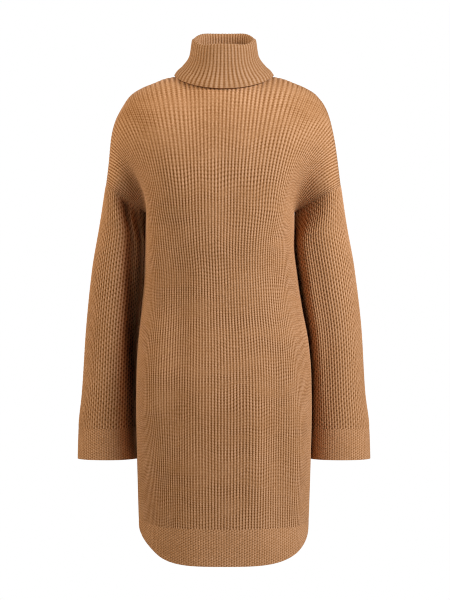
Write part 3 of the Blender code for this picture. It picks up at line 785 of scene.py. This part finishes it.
class Wire:
    def __init__(self, tree, socket):
        self.tree, self.socket = tree, socket

    def add(self, kind, settings=None, inputs=None, output=0):
        node = self.tree.nodes.new(kind)
        for key, value in (settings or {}).items():
            if key == "stops":
                while len(node.color_ramp.elements) < len(value):
                    node.color_ramp.elements.new(1.0)
                for stop, (place, colour) in zip(node.color_ramp.elements, value):
                    stop.position, stop.color = place, colour
            else:
                setattr(node, key, value)
        for key, value in (inputs or {}).items():
            if isinstance(value, Wire):
                self.tree.links.new(value.socket, node.inputs[key])
            else:
                node.inputs[key].default_value = value
        return Wire(self.tree, node.outputs[output])

    def other(self, output):
        return Wire(self.tree, self.socket.node.outputs[output])

    def math(self, operation, *values):
        return self.add("ShaderNodeMath", {"operation": operation}, dict(enumerate(values)))

    def __add__(self, value): return self.math("ADD", self, value)
    def __radd__(self, value): return self.math("ADD", value, self)
    def __sub__(self, value): return self.math("SUBTRACT", self, value)
    def __rsub__(self, value): return self.math("SUBTRACT", value, self)
    def __mul__(self, value): return self.math("MULTIPLY", self, value)
    def __rmul__(self, value): return self.math("MULTIPLY", value, self)
    def __truediv__(self, value): return self.math("DIVIDE", self, value)
    def __rtruediv__(self, value): return self.math("DIVIDE", value, self)
    def __pow__(self, value): return self.math("POWER", self, value)
    def __mod__(self, value): return self.math("FLOORED_MODULO", self, value)
    def __neg__(self): return self.math("MULTIPLY", self, -1.0)
    def __abs__(self): return self.math("ABSOLUTE", self)

    def clamp(self, low=0.0, high=1.0):
        return self.add("ShaderNodeClamp", {}, {"Value": self, "Min": low, "Max": high})


# Yarn: the colours and relief of the stitches, with painted shade in the grooves, in the holes between
# stitches and in the gaps on the ribs. The painted shade follows each piece's own count of ribs and stitches.
bodyYarn = {
    "light": (0.700, 0.374, 0.194),          # on the ridges
    "dark": (0.160, 0.052, 0.010),           # painted shade, in the grooves and between stitches
    "groove": 0.63,                          # how dark the painted shade in the grooves between ribs is
    "hole": 0.70,                            # and the holes in them, one to a stitch
    "gap": 0.16,                             # and the gaps between stitches on a rib
    "narrow": 0.30,                          # share of a rib before the groove begins
    "offset": 0.0,                           # every other rib's stitches are set off by this share
    "slant": 0.25,                           # stitches slope away from the rib's middle
    "wander": 9.0,                           # how many stitches the rows rise and fall in soft waves
    "relief": 0.0007,
    "tension": 0.60,                         # how much the stitch shows more and less in soft bands
    "calm": 0.38,                            # and less towards the shoulders
    "calmZ": -0.21,                          # from this height
    "plain": 0.24,                           # level of painted shade where the stitch shows least
    "fibre": 0.80,
    "roughness": 0.95,
    "sheen": 0.05,
}
sleeveYarn = dict(bodyYarn, light=(0.735, 0.394, 0.205), groove=0.42, hole=0.80, gap=0.26, narrow=0.20,
                  offset=0.5, slant=0.0, wander=0.0, tension=0.35, calm=0.0)
# The collar's yarn colour is a darker copy of the body's: painted shade over the whole collar.
shadedCollarYarn = dict(bodyYarn, light=(0.520, 0.278, 0.142), groove=0.50, hole=0.24, gap=0.05, wander=0.0,
                  tension=0.50, calm=0.0)
bandYarn = dict(bodyYarn, light=(0.700, 0.364, 0.182), groove=0.22, hole=0.52, gap=0.30, narrow=0.20,
                offset=0.5, slant=0.0, wander=0.0, tension=0.45, calm=0.0)


def yarnMaterial(name, yarn):
    material = bpy.data.materials.new(name)
    material.use_nodes = True
    tree = material.node_tree
    shader = tree.nodes["Principled BSDF"]
    start = Wire(tree, shader.outputs[0])
    place = start.add("ShaderNodeUVMap", {"uv_map": "knit"}, {}, "UV")
    rib = start.add("ShaderNodeSeparateXYZ", {}, {"Vector": place}, "X")
    row = rib.other("Y")
    drift = start.add("ShaderNodeCombineXYZ", {}, {"X": rib * 0.07, "Y": row * 0.05})
    waves = start.add("ShaderNodeTexNoise", {}, {"Vector": drift, "Scale": 1.0, "Detail": 1.0})
    row = row + (waves - 0.5) * yarn["wander"]
    spot = start.add("ShaderNodeTexCoord", {}, {}, "Object")
    split = start.add("ShaderNodeAttribute", {"attribute_name": "split"}, {}, "Fac")
    across = abs(rib.math("FRACT", rib) * 2.0 - 1.0)            # 0 on the ridge, 1 in the groove
    across = across.math("MAXIMUM", across, (1.0 - across * 2.0) * split)
    groove = ((across - yarn["narrow"]) / (0.9 - yarn["narrow"])).clamp()
    onRib = (rib.math("FLOOR", rib) % 2.0) * yarn["offset"]
    inGroove = (rib.math("FLOOR", rib + 0.5) % 2.0) * yarn["offset"]
    slant = across * yarn["slant"]
    # 1 where two stitches meet
    meet, meetBelow = (abs(rib.math("FRACT", row + shift + slant) * 2.0 - 1.0) for shift in (onRib, inGroove))
    hole, gap = (((at - 0.35) / 0.65).clamp() for at in (meetBelow, meet))
    swing = start.add("ShaderNodeCombineXYZ", {}, {"X": rib * 0.06, "Y": row * 0.16})
    bands = start.add("ShaderNodeTexNoise", {},
                      {"Vector": swing, "Scale": 1.0, "Detail": 2.0, "Distortion": 0.8})
    level = start.add("ShaderNodeSeparateXYZ", {}, {"Vector": spot}, "Z")
    calm = ((level - yarn["calmZ"]) / 0.10).clamp() * yarn["calm"]
    tension = (1.0 - yarn["tension"] * (1.0 - ((bands - 0.34) * 3.2).clamp())) * (1.0 - calm)
    fibre = start.add("ShaderNodeTexNoise", {},
                      {"Vector": spot, "Scale": 420.0, "Detail": 4.0, "Roughness": 0.7})
    tone = start.add("ShaderNodeTexNoise", {}, {"Vector": spot, "Scale": 14.0, "Detail": 3.0})
    # Painted shade: darker in the grooves, in the holes between stitches and in the gaps on the ribs, where
    # shade falls in the knit.
    paintedShade = groove * (yarn["groove"] + yarn["hole"] * hole) + (1.0 - groove) * gap * yarn["gap"]
    shade = paintedShade * tension + (1.0 - tension) * yarn["plain"]
    shade = (shade + (fibre - 0.5) * yarn["fibre"] + (tone - 0.5) * 0.16).clamp()
    # The ramp runs from the yarn's own colour to the painted shade, which grows more saturated as it darkens.
    steps = np.linspace(0.0, 1.0, 5)
    stops = [(t, (*(np.array(yarn["light"]) ** (1 - t) * np.array(yarn["dark"]) ** t), 1.0)) for t in steps]
    colour = start.add("ShaderNodeValToRGB", {"stops": stops}, {"Fac": shade}, "Color")
    height = (1.0 - groove) * 0.45 - (groove * 0.2 * hole + gap * 0.4 * (1.0 - groove)) * tension
    height = height + (fibre - 0.5) * 0.4
    bump = start.add("ShaderNodeBump", {},
                     {"Strength": 1.0, "Distance": yarn["relief"], "Height": height}, "Normal")
    tree.links.new(colour.socket, shader.inputs["Base Color"])
    tree.links.new(bump.socket, shader.inputs["Normal"])
    shader.inputs["Roughness"].default_value = yarn["roughness"]
    shader.inputs["Specular IOR Level"].default_value = 0.1
    shader.inputs["Sheen Weight"].default_value = yarn["sheen"]
    shader.inputs["Sheen Roughness"].default_value = 0.5
    shader.inputs["Sheen Tint"].default_value = (0.9, 0.65, 0.4, 1.0)
    return material


bodyKnit = yarnMaterial("camelBodyKnit", bodyYarn)
sleeveKnit = yarnMaterial("camelSleeveKnit", sleeveYarn)
collarKnit = yarnMaterial("camelCollarKnit", shadedCollarYarn)
bandKnit = yarnMaterial("camelBandKnit", bandYarn)
print("yarn mixed")


# Each piece stands for its solid, as a sheet of the size it was knitted to.
cut = [
    (frontPanel, "front_panel", bodyKnit, "rib_knit", (0.60, 0.87), 0.40),
    (backPanel, "back_panel", bodyKnit, "rib_knit", (0.60, 0.89), 0.40),
    (frontHem, "front_hem_band", bandKnit, "band_knit", (0.46, 0.065), 0.026),
    (backHem, "back_hem_band", bandKnit, "band_knit", (0.45, 0.065), 0.025),
    (leftSleeve, "left_sleeve", sleeveKnit, "rib_knit", (0.35, 0.44), 0.145),
    (rightSleeve, "right_sleeve", sleeveKnit, "rib_knit", (0.35, 0.44), 0.145),
    (leftCuff, "left_cuff", bandKnit, "band_knit", (0.35, 0.056), 0.019),
    (rightCuff, "right_cuff", bandKnit, "band_knit", (0.35, 0.056), 0.019),
    (rollCollar, "roll_collar", collarKnit, "rib_knit", (0.45, 0.19), 0.075),
]
for piece, node, knit, slot, size, area in cut:
    piece.data.materials.append(knit)
    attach(piece, "root")
    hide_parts(node)


# Studio: pale floor, white surround, soft lights and the camera

studio = {
    "floorZ": -1.45,
    "floorSize": 6.0,
    "surround": 0.03,        # light from all round
    "key": {"at": (1.4, -0.9, 0.60), "size": 0.7, "power": 29.0, "colour": (0.95, 1.02, 1.16)},
    "front": {"at": (1.7, -1.8, 0.80), "size": 0.9, "power": 25.0, "colour": (0.95, 1.02, 1.16)},
    "fill": {"at": (-1.5, -0.35, 0.40), "size": 0.9, "power": 16.0, "colour": (1.05, 0.98, 0.86)},
    "top": {"at": (-0.8, -0.6, 1.20), "size": 0.9, "power": 8.0, "colour": (1.0, 1.0, 1.0)},
    "back": {"at": (-0.6, 2.2, 0.90), "size": 1.4, "power": 35.0, "colour": (1.0, 1.0, 1.0)},
    "cameraAt": (0.0018, -4.0, -0.4032),
    "viewHeight": 1.08,      # at the dress
    "aim": (0.0, 0.0, -0.35),
}


def softLight(name, values):
    lamp = bpy.data.lights.new(name, "AREA")
    lamp.shape, lamp.size, lamp.energy = "DISK", values["size"], values["power"]
    lamp.color = values["colour"]
    light = bpy.data.objects.new(name, lamp)
    light.location = values["at"]
    light.rotation_euler = (Vector(studio["aim"]) - light.location).to_track_quat("-Z", "Y").to_euler()
    scene.collection.objects.link(light)


bpy.ops.mesh.primitive_plane_add(size=studio["floorSize"], location=(0.0, 0.0, studio["floorZ"]))
floor = bpy.context.object
floor.name = "floor"
floorPaint = bpy.data.materials.new("paleFloor")
floorPaint.use_nodes = True
floorPaint.node_tree.nodes["Principled BSDF"].inputs["Base Color"].default_value = (0.86, 0.86, 0.85, 1.0)
floorPaint.node_tree.nodes["Principled BSDF"].inputs["Roughness"].default_value = 0.7
floor.data.materials.append(floorPaint)

for name in ("key", "front", "fill", "top", "back"):
    softLight(name, studio[name])

world = bpy.data.worlds.new("studio")
world.use_nodes = True
scene.world = world
sky = world.node_tree.nodes["Background"]
seen = Wire(world.node_tree, sky.outputs[0]).add("ShaderNodeLightPath", {}, {}, "Is Camera Ray")
strength = studio["surround"] + seen * (1.0 - studio["surround"])
world.node_tree.links.new(strength.socket, sky.inputs["Strength"])
sky.inputs["Color"].default_value = (1.0, 1.0, 1.0, 1.0)
scene.view_settings.view_transform = "Standard"
scene.cycles.filter_width = 1.1

camera = bpy.data.objects.new("camera", bpy.data.cameras.new("camera"))
camera.data.sensor_width = 36.0
camera.data.lens = 36.0 * abs(studio["cameraAt"][1]) / studio["viewHeight"]
camera.location = studio["cameraAt"]
camera.rotation_euler = (math.pi / 2, 0.0, 0.0)
scene.collection.objects.link(camera)
scene.camera = camera
print("studio set")

bpy.context.view_layer.update()
